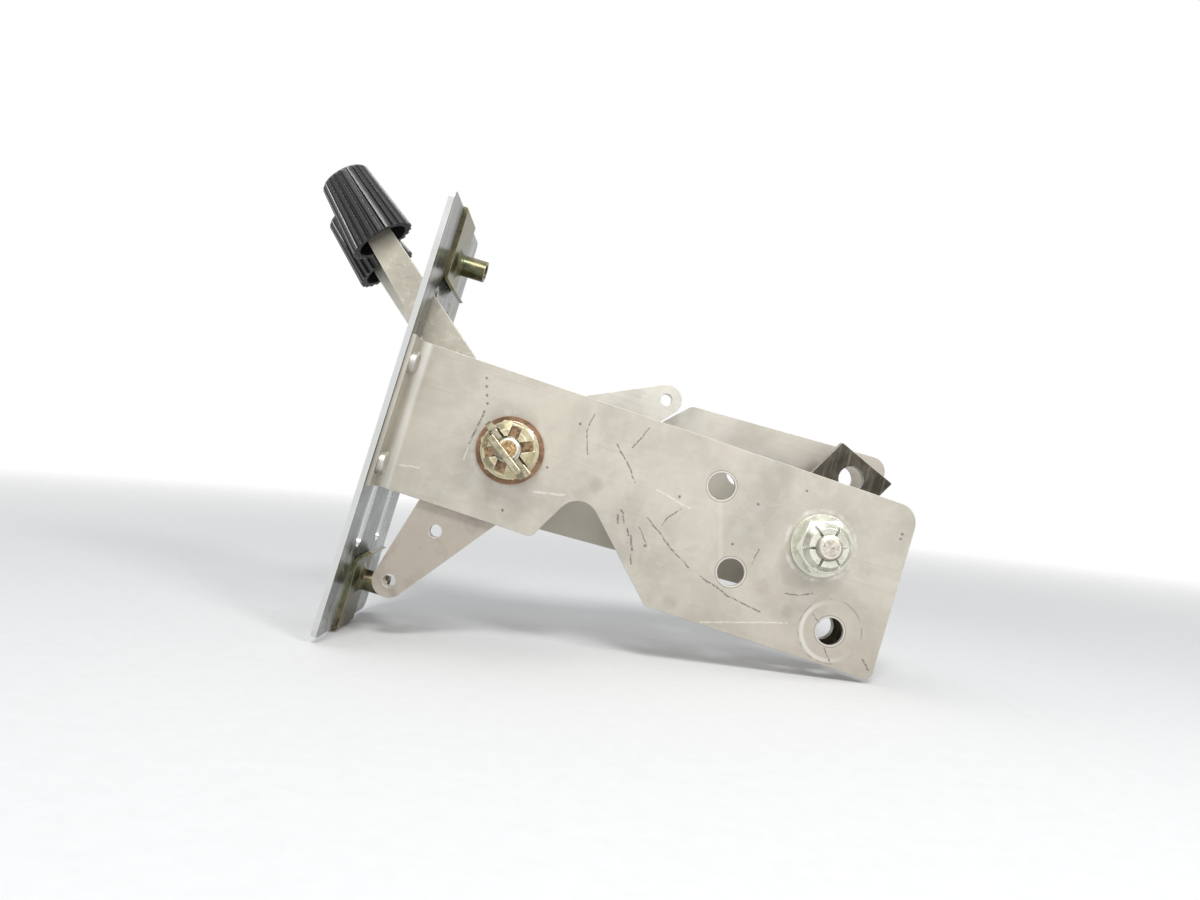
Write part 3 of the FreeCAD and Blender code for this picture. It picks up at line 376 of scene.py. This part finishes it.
def bolt(name, axis, tip, tip_light, tip_dark):
    """Plated bolt: threads on its near end, a rough end face inside a bright ring."""
    t, tone, roughness = metal(name, (0.66, 0.64, 0.57), (0.48, 0.45, 0.38), (0.86, 0.84, 0.76), 0.36,
                               lathe=axis)
    y = t.part(t.mm, 1)
    across = t.math("SUBTRACT", t.part(t.mm, 0), axis[0])
    coarse = t.noise(t.mm, 1.5, 4, 0.7, 0.6)
    end = t.ramp(t.math("ABSOLUTE", t.math("SUBTRACT", y, -tip)), 0.08, 0.16, 1, 0)
    centre = t.ramp(t.around(axis), 1.45, 1.75, 1, 0)
    tone = t.mix(end, tone, (0.78, 0.75, 0.64))
    tone = t.mix(t.times(end, centre), tone, t.mix(t.ramp(coarse, 0.38, 0.60), tip_dark, tip_light))
    screw = t.thread(y, across, t.part(t.mm, 2), BOLT_PITCH)
    cut = t.times(t.ramp(y, -THREAD_START, -THREAD_START - 0.3), t.math("SUBTRACT", 1.0, end))
    # Painted shade in the roots of the thread.
    tone = t.mix(t.times(cut, t.ramp(screw, 0.12, 0.02), 0.7), tone, (0.16, 0.13, 0.10))
    t.bump(t.times(cut, screw), 0.5, 0.8)
    t.bump(t.times(end, coarse), 0.25, 0.6)
    return t.finish(Base_Color=tone, Metallic=0.9, Roughness=roughness)


def castle(name):
    """Yellow-plated castle nut: pale worn lands, brown slot floors and slot walls, both darkened with
    painted shade, and darker towards its foot.
    """
    t, tone, roughness = metal(name, (0.72, 0.67, 0.46), (0.50, 0.42, 0.24), (0.90, 0.88, 0.74), 0.30,
                               cloud_scale=0.6, edge_radius=0.28, wear=0.8, dirt=(0.22, 0.14, 0.07),
                               dirty=0.4)
    y = t.part(t.mm, 1)
    reach = t.around(PIVOT)
    floor = t.times(t.ramp(t.math("ABSOLUTE", t.math("ADD", y, SLOT_FLOOR)), 0.06, 0.14, 1, 0),
                    t.ramp(reach, 4.3, 4.5, 1, 0))
    # Slot floors: brown plating, darkened with painted shade.
    floor_plating_and_shade = t.mix(t.ramp(t.noise(t.mm, 1.3, 3, 0.6), 0.4, 0.6), (0.13, 0.07, 0.04), (0.42, 0.27, 0.15))
    # Painted shade on the slot walls inside the crown.
    slot_wall_shade = t.times(t.ramp(t.facing(1), 0.5, 0.2), t.band(y, -18.0, -15.6, 0.1), t.ramp(reach, 4.1, 3.9))
    tone = t.mix(t.times(slot_wall_shade, 0.65), tone, (0.34, 0.24, 0.13))
    tone = t.mix(t.times(floor, 0.9), tone, floor_plating_and_shade)
    # Darker towards the foot, next to the washer.
    foot = t.ramp(y, -13.4, -12.2)
    tone = t.mix(t.times(foot, 0.45), tone, (0.30, 0.21, 0.12))
    return t.finish(Base_Color=tone, Metallic=0.9, Roughness=roughness)


def clip(name, side):
    """Olive-gold spring steel: plating tinged brown and green, a screw thread in the barrel with painted
    shade in its roots.
    """
    t, tone, roughness = metal(name, (0.21, 0.195, 0.11), (0.085, 0.078, 0.042), (0.52, 0.49, 0.34), 0.30,
                               cloud_scale=0.30, wear=0.7, dirt=(0.05, 0.045, 0.03), dirty=0.4)
    x, y, z = (t.part(t.mm, axis) for axis in range(3))
    tinge = t.noise(t.mm, 0.22, 2, 0.5, 1.2)
    tone = t.mix(t.ramp(tinge, 0.52, 0.66, 0, 0.45), tone, (0.26, 0.18, 0.12))
    tone = t.mix(t.ramp(tinge, 0.46, 0.34, 0, 0.45), tone, (0.15, 0.19, 0.11))
    up = t.math("SUBTRACT", z, side * BARREL_LEVEL)
    reach = t.math("SQRT", t.sum(t.times(y, y), t.times(up, up)))
    inside = t.times(t.ramp(reach, CLIP_BORE, CLIP_BORE + 0.06, 1, 0), t.ramp(t.facing(0), 0.8, 0.5))
    screw = t.thread(x, y, up, CLIP_PITCH)
    # Painted shade in the roots of the barrel's thread.
    tone = t.mix(t.times(inside, t.ramp(screw, 0.35, 0.10)), tone, (0.04, 0.033, 0.02))
    t.bump(t.times(inside, screw), 0.4, 0.8)
    return t.finish(Base_Color=tone, Metallic=0.85, Roughness=roughness)


def lever(name, angle, warm, soiled):
    """Sheet lever: lengthwise grain, rubbed lands, bright broken edges, grime low on the arm."""
    t = Tree(name, 0.18)
    cosine, sine = math.cos(math.radians(angle)), math.sin(math.radians(angle))
    x, z = t.part(t.mm, 0), t.part(t.mm, 2)
    cloud = t.noise(t.mm, 0.10, 4, 0.6, 0.8)
    mottle = t.noise(t.mm, 0.6, 4, 0.6, 0.5)
    grain = t.noise(t.scaled(0.05, 1, 1.3, (0, math.radians(angle), 0)), 2.2, 3, 0.65)
    fine = t.noise(t.mm, 3.0, 3, 0.6)
    tone = t.mix(t.ramp(cloud, 0.36, 0.64), shade(warm, 0.86), shade(warm, 1.06))
    tone = t.mix(t.ramp(grain, 0.50, 0.72, 0, 0.30), tone, shade(warm, 1.22))
    tone = t.mix(t.ramp(grain, 0.46, 0.30, 0, 0.25), tone, shade(warm, 0.68))
    tone = t.mix(t.ramp(fine, 0.64, 0.76, 0, 0.45), tone, shade(warm, 0.45))
    out = t.sum(t.times(t.math("SUBTRACT", x, PIVOT[0]), -cosine), t.times(z, sine))
    arm = t.ramp(out, 6, -4)
    tone = t.mix(t.times(arm, soiled), tone, (0.44, 0.385, 0.33))
    smudge = t.times(t.ramp(out, 2, -6), t.ramp(t.noise(t.mm, 0.16, 5, 0.65, 0.3), 0.50, 0.72), soiled)
    tone = t.mix(t.times(smudge, 0.8), tone, (0.24, 0.20, 0.165))
    worn = t.times(t.band(out, 20, 42, 4), t.ramp(mottle, 0.55, 0.70))
    tone = t.mix(t.times(worn, 0.35), tone, (0.84, 0.82, 0.76))
    side_face = t.ramp(t.facing(1), 0.6, 0.3)
    spots = t.ramp(t.noise(t.mm, 0.9, 3, 0.6), 0.58, 0.66)
    tone = t.mix(t.times(side_face, spots, 0.5), tone, (0.30, 0.21, 0.12))
    tone = t.mix(t.times(t.edges(0.30), 0.55), tone, (0.90, 0.89, 0.84))
    t.bump(t.sum(t.times(grain, 0.5), t.times(fine, 0.4)), 0.03, 0.5)
    return t.finish(Base_Color=tone, Metallic=0.6, Roughness=t.ramp(cloud, 0.3, 0.7, 0.30, 0.42))


def knob(name, angle):
    """Black moulded knob: glossy ridges, lighter with painted sheen and a little dust; dull grooves with
    painted shade; a faint moulding grain.
    """
    t = Tree(name, 0.07)
    way = Vector((-math.cos(math.radians(angle)), 0, math.sin(math.radians(angle))))
    off = t.vector("SUBTRACT", t.mm, (PIVOT[0], 0, 0))
    along = t.vector("DOT_PRODUCT", off, tuple(way), output=1)
    side = LEVER_LEVEL if "left" in name else -LEVER_LEVEL
    from_axis = t.vector("SUBTRACT", off, t.vector("SCALE", tuple(way), Scale=along))
    reach = t.vector("DISTANCE", from_axis, (0, side, 0), output=1)
    outside = t.ramp(along, KNOB_SEAT, KNOB_SEAT + KNOB_LENGTH, *KNOB_RADII)
    depth = t.math("SUBTRACT", outside, reach)
    groove = t.ramp(depth, 0.12, 0.42)
    grit = t.noise(t.mm, 5.0, 3, 0.6)
    cloud = t.noise(t.mm, 0.7, 3, 0.6)
    # Painted shade in the grooves and painted sheen on the ridges: the grooves are darker than the ridges.
    tone = t.mix(groove, (0.020, 0.0205, 0.0215), (0.004, 0.004, 0.004))
    dust = t.times(t.ramp(cloud, 0.58, 0.76), t.ramp(depth, 0.02, 0.30, 1, 0), 0.25)
    tone = t.mix(dust, tone, (0.045, 0.045, 0.043))
    rough = t.sum(t.ramp(cloud, 0.3, 0.7, 0.16, 0.26), t.times(groove, 0.35))
    t.bump(grit, 0.01, 0.2)
    return t.finish(Base_Color=tone, Metallic=0.0, Roughness=rough, Specular_IOR_Level=0.6)


def clamp_plate(name):
    """Dark steel strap: blotchy oxide, long rolling lines, a rubbed ring round its hole, silver edges."""
    t, tone, roughness = metal(name, (0.115, 0.102, 0.080), (0.050, 0.043, 0.033), (0.62, 0.60, 0.54), 0.34,
                               cloud_scale=0.22, wear=0.9, edge_radius=0.22, dirt=(0.04, 0.032, 0.025))
    roll = t.noise(t.scaled(1.2, 1, 0.06, (0, 0.4, 0)), 1.6, 3, 0.6)
    tone = t.mix(t.ramp(roll, 0.54, 0.72, 0, 0.35), tone, (0.30, 0.28, 0.24))
    ring = t.band(t.around(REAR), 4.3, 4.7, 0.3)
    tone = t.mix(t.times(ring, 0.35), tone, (0.36, 0.34, 0.30))
    cut = t.ramp(t.facing(1), 0.6, 0.3)
    tone = t.mix(t.times(cut, 0.6), tone, (0.42, 0.40, 0.35))
    return t.finish(Base_Color=tone, Metallic=0.9, Roughness=roughness)


SILVER = ((0.80, 0.80, 0.70), (0.60, 0.60, 0.51), (0.95, 0.95, 0.90))
STEEL = ((0.60, 0.58, 0.51), (0.42, 0.40, 0.34), (0.82, 0.80, 0.74))
MATERIALS = {
    "plate": polished_plate("plate polished"),
    "rivet": turned("rivet aluminium", (0.62, 0.61, 0.56), (0.44, 0.42, 0.37), (0.86, 0.85, 0.80), 0.42,
                    cloud_scale=0.8),
    "washer": turned("washer plated", *SILVER, 0.30, dirty=0.35, wear=0.8),
    "brown_washer": turned("washer brown", (0.36, 0.22, 0.14), (0.17, 0.10, 0.06), (0.60, 0.44, 0.31), 0.42,
                           cloud_scale=0.35, dirt=(0.03, 0.02, 0.015), dirty=0.6, wear=0.5, metallic=0.7),
    "gold_nut": castle("castle nut plating"),
    "cotter": turned("cotter steel", (0.56, 0.52, 0.38), (0.34, 0.30, 0.20), (0.84, 0.81, 0.68), 0.30,
                     cloud_scale=0.9, dirty=0.5, edge_radius=0.15),
    "friction_washer": turned("friction washer bronze", (0.46, 0.35, 0.20), (0.24, 0.17, 0.09),
                              (0.70, 0.60, 0.42), 0.40, lathe=PIVOT),
    "spacer": turned("spacer tube", *STEEL, 0.34, lathe=PIVOT),
    "sleeve": turned("rear sleeves", *STEEL, 0.34, lathe=REAR),
    "lock_nut": turned("lock nut plating", *SILVER, 0.28, dirty=0.4, wear=0.85, edge_radius=0.25),
    "clamp": clamp_plate("clamp steel"),
}
NODE_MATERIALS = {
    "bracket_right": bracket("bracket sheet, right", -1, True),
    "bracket_left": bracket("bracket sheet, left", 1, False),
    "clip_nut_upper": clip("clip nut, upper", 1),
    "clip_nut_lower": clip("clip nut, lower", -1),
    "pivot_bolt": bolt("pivot bolt", PIVOT, PIVOT_TIP, (0.60, 0.42, 0.22), (0.20, 0.12, 0.06)),
    "rear_bolt": bolt("rear bolt", REAR, REAR_TIP, (0.66, 0.62, 0.54), (0.38, 0.33, 0.27)),
    "lever_right": lever("lever sheet, right", RIGHT_ANGLE, (0.54, 0.505, 0.415), 0.75),
    "lever_left": lever("lever sheet, left", LEFT_ANGLE, (0.72, 0.70, 0.62), 0.1),
    "knob_right": knob("knob, right", RIGHT_ANGLE),
    "knob_left": knob("knob, left", LEFT_ANGLE),
}
for entry in frame["record"]["subparts"]:
    item = nodes[entry["node"]]
    item.data.materials.clear()
    item.data.materials.append(NODE_MATERIALS.get(entry["node"]) or MATERIALS[entry["material_slot"]])


PLATE_FOOT = Vector((-0.7, 0, -41.98)) * MM
BRACKET_FOOT = Vector((99.5, 0, -21.4)) * MM
FLOOR_GAP = 0.0006
FLOOR_HALF = 1.5
FADE_START = 150
FADE_END = 620


def make_floor():
    """Pale plane, fading out, under the object as it rests on the plate's lower end and a rear corner."""
    run = (BRACKET_FOOT - PLATE_FOOT).normalized()
    up = Vector((-run.z, 0, run.x))
    side = Vector((0, 1, 0))
    centre = (PLATE_FOOT + BRACKET_FOOT) / 2 - up * FLOOR_GAP
    corners = [centre + run * FLOOR_HALF * a + side * FLOOR_HALF * b
               for a, b in ((-1, -1), (1, -1), (1, 1), (-1, 1))]
    mesh = bpy.data.meshes.new("floor")
    mesh.from_pydata([tuple(c) for c in corners], [], [(0, 1, 2, 3)])
    if mesh.polygons[0].normal.dot(up) < 0:
        mesh.flip_normals()
    floor = bpy.data.objects.new("floor", mesh)
    bpy.context.scene.collection.objects.link(floor)
    t = Tree("floor", None)
    grey = t.mix(t.ramp(t.noise(t.mm, 0.4, 3, 0.6), 0.3, 0.7), (0.86, 0.86, 0.855), (0.885, 0.885, 0.88))
    t.finish(Base_Color=grey, Metallic=0.0, Roughness=0.8)
    reach = t.vector("DISTANCE", t.mm, tuple(centre / MM), output=1)
    fade = t.ramp(reach, FADE_START, FADE_END)
    clear = t.tree.nodes.new("ShaderNodeBsdfTransparent")
    blend = t.tree.nodes.new("ShaderNodeMixShader")
    output = next(node for node in t.tree.nodes if node.type == "OUTPUT_MATERIAL")
    t.put(blend.inputs[0], fade)
    t.tree.links.new(t.shader.outputs[0], blend.inputs[1])
    t.tree.links.new(clear.outputs[0], blend.inputs[2])
    t.tree.links.new(blend.outputs[0], output.inputs["Surface"])
    mesh.materials.append(t.material)


RIGHT = Vector((0.95558, -0.03526, 0.29260))
DOWN = Vector((0.29357, 0.02643, -0.95557))
FORWARD = Vector((0.02596, 0.99903, 0.03561))
CAMERA_PLACE = Vector((34.563, -178.098, -1.010)) * MM
FOCAL_PIXELS = 903.44
PICTURE_WIDTH = 1200
SENSOR_WIDTH = 36


def make_camera():
    """The photograph's viewpoint."""
    data = bpy.data.cameras.new("camera")
    camera = bpy.data.objects.new("camera", data)
    bpy.context.scene.collection.objects.link(camera)
    turn = Matrix((RIGHT, -DOWN, -FORWARD)).transposed().to_4x4()
    camera.matrix_world = Matrix.Translation(CAMERA_PLACE) @ turn
    data.sensor_width = SENSOR_WIDTH
    data.lens = FOCAL_PIXELS / PICTURE_WIDTH * SENSOR_WIDTH
    data.clip_start = 0.005
    data.clip_end = 20
    bpy.context.scene.camera = camera


MIDDLE = Vector((45, 0, -5)) * MM
SOFT_LEVEL = 0.35
LAMPS = {
    "key": (0.04, 0.40, 0.36, 1.30, 0.14),
    "top": (-0.15, 0.50, -0.12, 0.60, 0.40),
    "side": (0.28, 0.24, 0.31, 0.70, 0.09),
}


def make_light():
    """A soft world that looks white to the camera and in reflections, and three lamps.

    A lamp has its distances right, up and towards the camera from the object's middle, its energy and
    its size.
    """
    world = bpy.data.worlds.new("world")
    world.use_nodes = True
    tree = world.node_tree
    tree.nodes.clear()
    output = tree.nodes.new("ShaderNodeOutputWorld")
    soft = tree.nodes.new("ShaderNodeBackground")
    soft.inputs["Color"].default_value = (0.92, 0.95, 1.0, 1.0)
    soft.inputs["Strength"].default_value = SOFT_LEVEL
    white = tree.nodes.new("ShaderNodeBackground")
    white.inputs["Color"].default_value = (1, 1, 1, 1)
    white.inputs["Strength"].default_value = 1.0
    path = tree.nodes.new("ShaderNodeLightPath")
    seen = path.outputs["Is Camera Ray"]
    for kind in ("Is Glossy Ray", "Is Transmission Ray"):
        either = tree.nodes.new("ShaderNodeMath")
        either.operation = "MAXIMUM"
        tree.links.new(seen, either.inputs[0])
        tree.links.new(path.outputs[kind], either.inputs[1])
        seen = either.outputs[0]
    mix = tree.nodes.new("ShaderNodeMixShader")
    tree.links.new(seen, mix.inputs[0])
    tree.links.new(soft.outputs[0], mix.inputs[1])
    tree.links.new(white.outputs[0], mix.inputs[2])
    tree.links.new(mix.outputs[0], output.inputs["Surface"])
    bpy.context.scene.world = world
    for name, (right, up, near, energy, size) in LAMPS.items():
        data = bpy.data.lights.new(name, "AREA")
        data.energy = energy
        data.size = size
        lamp = bpy.data.objects.new(name, data)
        bpy.context.scene.collection.objects.link(lamp)
        place = MIDDLE + RIGHT * right - DOWN * up - FORWARD * near
        aim = MIDDLE - place
        lamp.matrix_world = Matrix.Translation(place) @ aim.to_track_quat("-Z", "Y").to_matrix().to_4x4()


make_floor()
make_camera()
make_light()
bpy.context.scene.view_settings.view_transform = "Standard"
